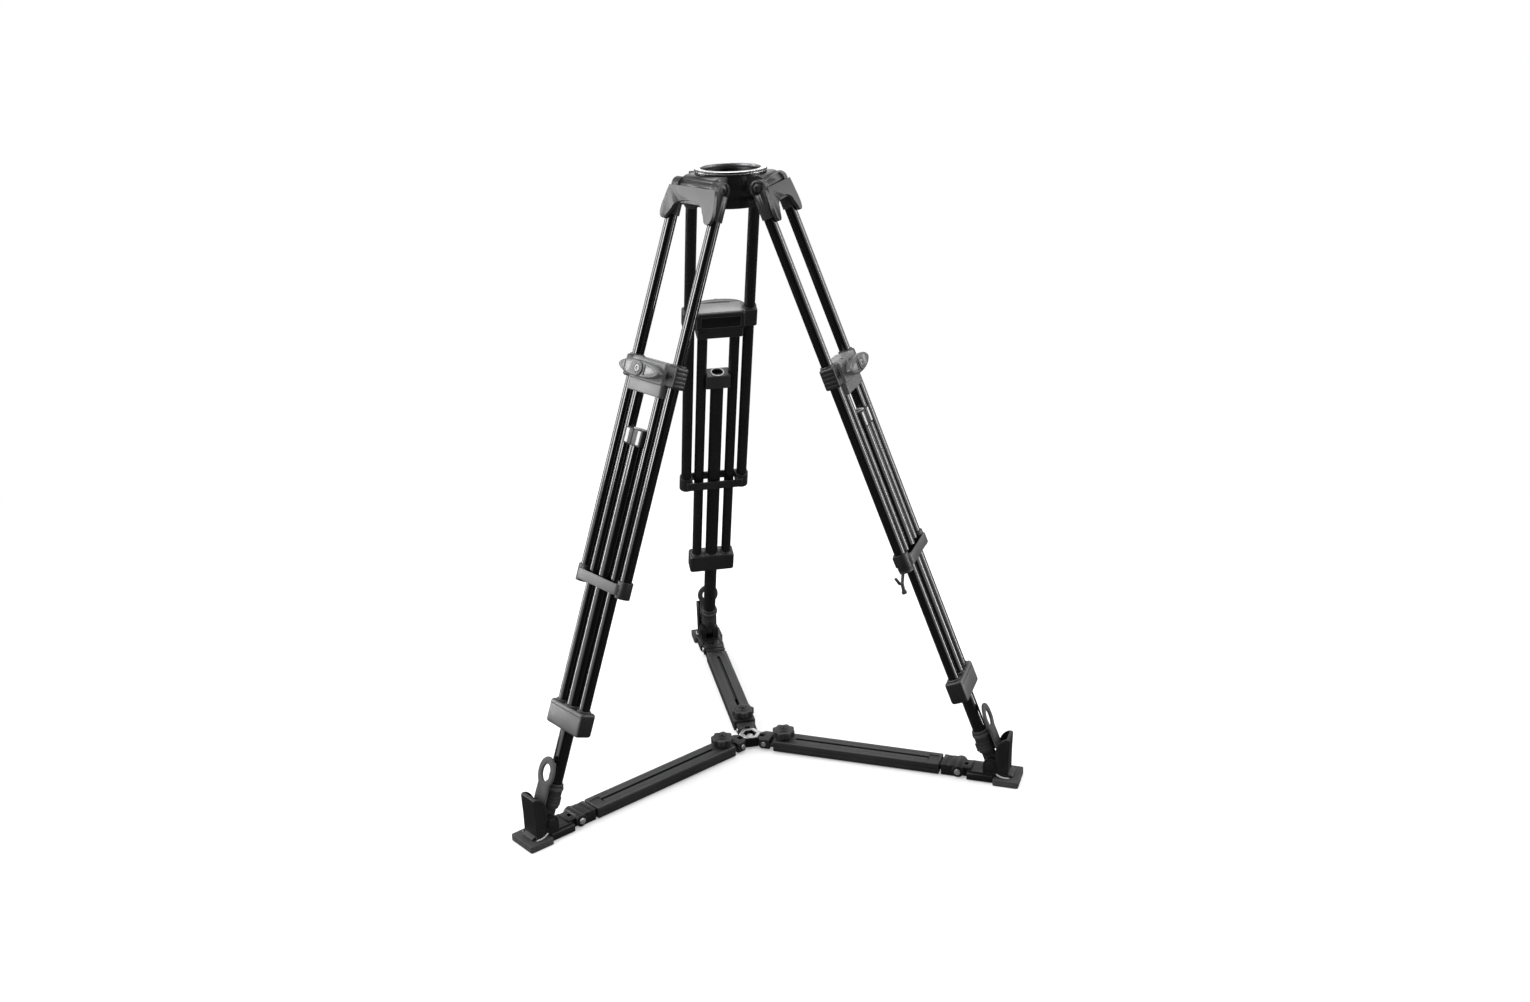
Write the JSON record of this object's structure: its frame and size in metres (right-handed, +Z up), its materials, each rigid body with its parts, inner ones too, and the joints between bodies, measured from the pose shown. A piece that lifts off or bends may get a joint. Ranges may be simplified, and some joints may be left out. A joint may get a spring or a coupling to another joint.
{
  "type": "video tripod",
  "caption": "Two-stage video tripod with a bowl seat for a levelling head, hinged legs, clamp levers, rubber feet and a telescoping ground spreader.",
  "frame": {"origin": "on the floor on the tripod's axis, at the flat underside of the spreader hub", "axes": "+Z up the tripod's axis, +Y from the axis towards the rear foot, +X to the right seen from the front"},
  "size_m": [0.913, 0.7915, 1.0725],
  "materials": {
    "cast_grey": "satin grey-black paint on cast aluminium",
    "cast_black": "satin black paint on cast aluminium",
    "dark_steel": "dark plated",
    "black_tube": "glossy black anodised aluminium tube",
    "lever_plastic": "grained moulded",
    "guide_plastic": "moulded grey",
    "black_plastic": "moulded",
    "rubber": "matte",
    "arm_black": "matte black anodised aluminium extrusion",
    "machined_rim": "machined bright"
  },
  "bodies": {
    "crown": {"crown": "cast_black", "bowl_ring": "machined_rim"},
    "left_leg": {"left_shoulder": "cast_grey", "left_hinge_shaft": "dark_steel", "left_outer_tube_1": "black_tube", "left_outer_tube_2": "black_tube", "left_outer_tie": "cast_black"},
    "left_mid": {"left_clamp_housing": "cast_grey", "left_inner_tube_1": "black_tube", "left_inner_tube_2": "black_tube", "left_bottom_block": "cast_black"},
    "left_lever": {"left_clamp_lever": "lever_plastic"},
    "left_lower": {"left_centre_tube": "black_tube", "left_top_guide": "guide_plastic", "left_boot": "black_plastic", "left_strap": "rubber"},
    "left_foot": {"left_pad": "rubber", "left_foot_casting": "cast_black"},
    "left_channel": {"left_channel": "arm_black"},
    "left_knob": {"left_lock_knob": "black_plastic"},
    "left_hub_bar": {"left_hub_bar": "arm_black"},
    "right_leg": {"right_shoulder": "cast_grey", "right_hinge_shaft": "dark_steel", "right_outer_tube_1": "black_tube", "right_outer_tube_2": "black_tube", "right_outer_tie": "cast_black"},
    "right_mid": {"right_clamp_housing": "cast_grey", "right_inner_tube_1": "black_tube", "right_inner_tube_2": "black_tube", "right_bottom_block": "cast_black"},
    "right_lever": {"right_clamp_lever": "lever_plastic"},
    "right_lower": {"right_centre_tube": "black_tube", "right_top_guide": "guide_plastic", "right_boot": "black_plastic", "right_strap": "rubber"},
    "right_foot": {"right_pad": "rubber", "right_foot_casting": "cast_black"},
    "right_channel": {"right_channel": "arm_black"},
    "right_knob": {"right_lock_knob": "black_plastic"},
    "right_hub_bar": {"right_hub_bar": "arm_black"},
    "rear_leg": {"rear_shoulder": "cast_grey", "rear_hinge_shaft": "dark_steel", "rear_outer_tube_1": "black_tube", "rear_outer_tube_2": "black_tube", "rear_outer_tie": "cast_black"},
    "rear_mid": {"rear_clamp_housing": "cast_grey", "rear_inner_tube_1": "black_tube", "rear_inner_tube_2": "black_tube", "rear_bottom_block": "cast_black"},
    "rear_lever": {"rear_clamp_lever": "lever_plastic"},
    "rear_lower": {"rear_centre_tube": "black_tube", "rear_top_guide": "guide_plastic", "rear_boot": "black_plastic", "rear_strap": "rubber"},
    "rear_foot": {"rear_pad": "rubber", "rear_foot_casting": "cast_black"},
    "rear_channel": {"rear_channel": "arm_black"},
    "rear_knob": {"rear_lock_knob": "black_plastic"},
    "rear_hub_bar": {"rear_hub_bar": "arm_black", "hub": "dark_steel"}
  },
  "joints": [
    {"name": "left_spread", "type": "hinge", "parent": "crown", "child": "left_leg", "pos_m": [-0.05716, -0.033, 1.0465], "axis": [-0.5, 0.866, 0], "range_deg": [0, 10]},
    {"name": "left_mid_slide", "type": "slide", "parent": "left_leg", "child": "left_mid", "axis": [-0.3125, -0.1804, -0.9326], "range_m": [-0.01, 0.22]},
    {"name": "left_lever_turn", "type": "hinge", "parent": "left_mid", "child": "left_lever", "pos_m": [-0.15349, -0.08862, 0.75897], "axis": [-0.8077, -0.4663, 0.3608], "range_deg": [0, 90]},
    {"name": "left_lower_slide", "type": "slide", "parent": "left_mid", "child": "left_lower", "axis": [-0.3125, -0.1804, -0.9326], "range_m": [-0.01, 0.22]},
    {"name": "left_foot_level", "type": "hinge", "parent": "left_lower", "child": "left_foot", "pos_m": [-0.39713, -0.22928, 0.03179], "axis": [-0.5, 0.866, 0], "range_deg": [-10, 0]},
    {"name": "left_channel_slide", "type": "slide", "parent": "left_foot", "child": "left_channel", "axis": [0.866, 0.5, 0], "range_m": [0, 0.171]},
    {"name": "left_knob_turn", "type": "hinge", "parent": "left_channel", "child": "left_knob", "pos_m": [-0.05802, -0.0335, 0.0345], "axis": [0, 0, 1], "range_deg": [0, 270]},
    {"name": "left_hub_bar_slide", "type": "slide", "parent": "left_channel", "child": "left_hub_bar", "axis": [0.866, 0.5, 0], "range_m": [-0.0075, 0.16]},
    {"name": "right_spread", "type": "hinge", "parent": "crown", "child": "right_leg", "pos_m": [0.05716, -0.033, 1.0465], "axis": [-0.5, -0.866, 0], "range_deg": [0, 10]},
    {"name": "right_mid_slide", "type": "slide", "parent": "right_leg", "child": "right_mid", "axis": [0.3125, -0.1804, -0.9326], "range_m": [-0.01, 0.22]},
    {"name": "right_lever_turn", "type": "hinge", "parent": "right_mid", "child": "right_lever", "pos_m": [0.16005, -0.09241, 0.73938], "axis": [0.8077, -0.4663, 0.3608], "range_deg": [0, 90]},
    {"name": "right_lower_slide", "type": "slide", "parent": "right_mid", "child": "right_lower", "axis": [0.3125, -0.1804, -0.9326], "range_m": [-0.01, 0.22]},
    {"name": "right_foot_level", "type": "hinge", "parent": "right_lower", "child": "right_foot", "pos_m": [0.39713, -0.22928, 0.03179], "axis": [-0.5, -0.866, 0], "range_deg": [-10, 0]},
    {"name": "right_channel_slide", "type": "slide", "parent": "right_foot", "child": "right_channel", "axis": [-0.866, 0.5, 0], "range_m": [0, 0.171]},
    {"name": "right_knob_turn", "type": "hinge", "parent": "right_channel", "child": "right_knob", "pos_m": [0.05802, -0.0335, 0.0345], "axis": [0, 0, 1], "range_deg": [0, 270]},
    {"name": "right_hub_bar_slide", "type": "slide", "parent": "right_channel", "child": "right_hub_bar", "axis": [-0.866, 0.5, 0], "range_m": [-0.0075, 0.16]},
    {"name": "rear_spread", "type": "hinge", "parent": "crown", "child": "rear_leg", "pos_m": [0, 0.066, 1.0465], "axis": [1, 0, 0], "range_deg": [0, 10]},
    {"name": "rear_mid_slide", "type": "slide", "parent": "rear_leg", "child": "rear_mid", "axis": [0, 0.3608, -0.9326], "range_m": [-0.01, 0.22]},
    {"name": "rear_lever_turn", "type": "hinge", "parent": "rear_mid", "child": "rear_lever", "pos_m": [0, 0.16764, 0.78378], "axis": [0, 0.9326, 0.3608], "range_deg": [0, 90]},
    {"name": "rear_lower_slide", "type": "slide", "parent": "rear_mid", "child": "rear_lower", "axis": [0, 0.3608, -0.9326], "range_m": [-0.01, 0.22]},
    {"name": "rear_foot_level", "type": "hinge", "parent": "rear_lower", "child": "rear_foot", "pos_m": [0, 0.45856, 0.03179], "axis": [1, 0, 0], "range_deg": [-10, 0]},
    {"name": "rear_channel_slide", "type": "slide", "parent": "rear_foot", "child": "rear_channel", "axis": [0, -1, 0], "range_m": [0, 0.171]},
    {"name": "rear_knob_turn", "type": "hinge", "parent": "rear_channel", "child": "rear_knob", "pos_m": [0, 0.067, 0.0345], "axis": [0, 0, 1], "range_deg": [0, 270]},
    {"name": "rear_hub_bar_slide", "type": "slide", "parent": "rear_channel", "child": "rear_hub_bar", "axis": [0, -1, 0], "range_m": [-0.0075, 0.16]}
  ],
  "couplings": [
    {"joint": "left_lower_slide", "follows": "left_mid_slide", "ratio": 1},
    {"joint": "left_foot_level", "follows": "left_spread", "ratio": -1},
    {"joint": "left_channel_slide", "follows": "left_spread", "m_per_rad": 0.975},
    {"joint": "left_hub_bar_slide", "follows": "left_mid_slide", "ratio": 0.72162},
    {"joint": "right_spread", "follows": "left_spread", "ratio": 1},
    {"joint": "right_mid_slide", "follows": "left_mid_slide", "ratio": 1},
    {"joint": "right_lower_slide", "follows": "left_mid_slide", "ratio": 1},
    {"joint": "right_foot_level", "follows": "left_spread", "ratio": -1},
    {"joint": "right_channel_slide", "follows": "left_spread", "m_per_rad": 0.975},
    {"joint": "right_hub_bar_slide", "follows": "left_mid_slide", "ratio": 0.72162},
    {"joint": "rear_spread", "follows": "left_spread", "ratio": 1},
    {"joint": "rear_mid_slide", "follows": "left_mid_slide", "ratio": 1},
    {"joint": "rear_lower_slide", "follows": "left_mid_slide", "ratio": 1},
    {"joint": "rear_foot_level", "follows": "left_spread", "ratio": -1},
    {"joint": "rear_channel_slide", "follows": "left_spread", "m_per_rad": 0.975},
    {"joint": "rear_hub_bar_slide", "follows": "left_mid_slide", "ratio": 0.72162}
  ]
}
